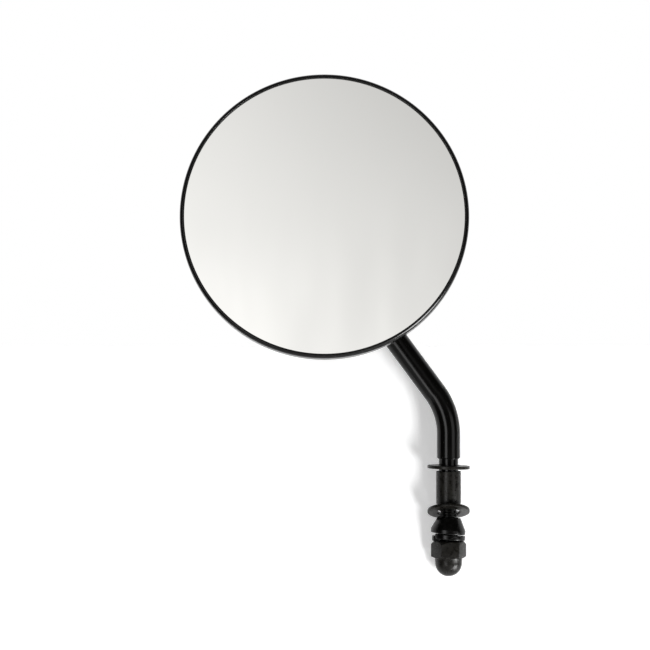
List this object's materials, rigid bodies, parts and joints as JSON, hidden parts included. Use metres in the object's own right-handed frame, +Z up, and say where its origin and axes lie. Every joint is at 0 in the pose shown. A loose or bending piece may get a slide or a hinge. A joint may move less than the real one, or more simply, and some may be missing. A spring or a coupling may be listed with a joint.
{
  "type": "motorcycle mirror",
  "caption": "Round mirror in a domed black shell, on a ball joint at the end of a bent rod, with a clamp stud, washers, a sleeve and a domed nut.",
  "frame": {"origin": "centre of the stem's shoulder, where the rod steps down to the stud", "axes": "+Z up the stud's axis; the glass faces -Y and leans 9.1 degrees upwards; +X is to the right for a viewer who looks into the glass, so the head is on the -X side of the stud"},
  "size_m": [0.117, 0.0584, 0.2034],
  "materials": {
    "satin_black": "satin",
    "rough_black": "matte",
    "rubber_black": "matte",
    "mirror_grey": "polished",
    "foam_grey": "matte",
    "acetal_black": "satin",
    "spring_steel": "satin"
  },
  "bodies": {
    "stem": {"stem": "satin_black"},
    "seat_link": {"seat_ring": "acetal_black"},
    "cup_link": {"ball_cup": "acetal_black"},
    "head": {"shell": "satin_black", "glass_gasket": "rubber_black", "glass": "mirror_grey", "backing_pad": "foam_grey", "spring_cap": "spring_steel", "rear_disc_spring": "spring_steel", "front_disc_spring": "spring_steel"},
    "clamp_stack": {"upper_washer": "rough_black", "spacer_sleeve": "rough_black", "lower_washer": "rough_black", "cone_spacer": "rough_black", "lock_washer": "rough_black"},
    "nut": {"acorn_nut": "rough_black"}
  },
  "joints": [
    {"name": "head_pan", "type": "hinge", "parent": "stem", "child": "seat_link", "pos_m": [-0.051, -0.02201, 0.09555], "axis": [0, 0, 1], "range_deg": [-15, 15]},
    {"name": "head_tilt", "type": "hinge", "parent": "seat_link", "child": "cup_link", "pos_m": [-0.051, -0.02201, 0.09555], "axis": [1, 0, 0], "range_deg": [-15, 15]},
    {"name": "head_roll", "type": "hinge", "parent": "cup_link", "child": "head", "pos_m": [-0.051, -0.02201, 0.09555], "axis": [0, -0.9874, 0.1582], "continuous": true},
    {"name": "nut_travel", "type": "slide", "parent": "stem", "child": "clamp_stack", "axis": [0, 0, -1], "range_m": [-0.0025, 0.0054]},
    {"name": "nut_turn", "type": "hinge", "parent": "clamp_stack", "child": "nut", "pos_m": [0, 0, -0.034], "axis": [0, 0, -1], "range_deg": [-630, 1350]}
  ],
  "couplings": [
    {"joint": "nut_travel", "follows": "nut_turn", "m_per_rad": 0.00022459}
  ]
}
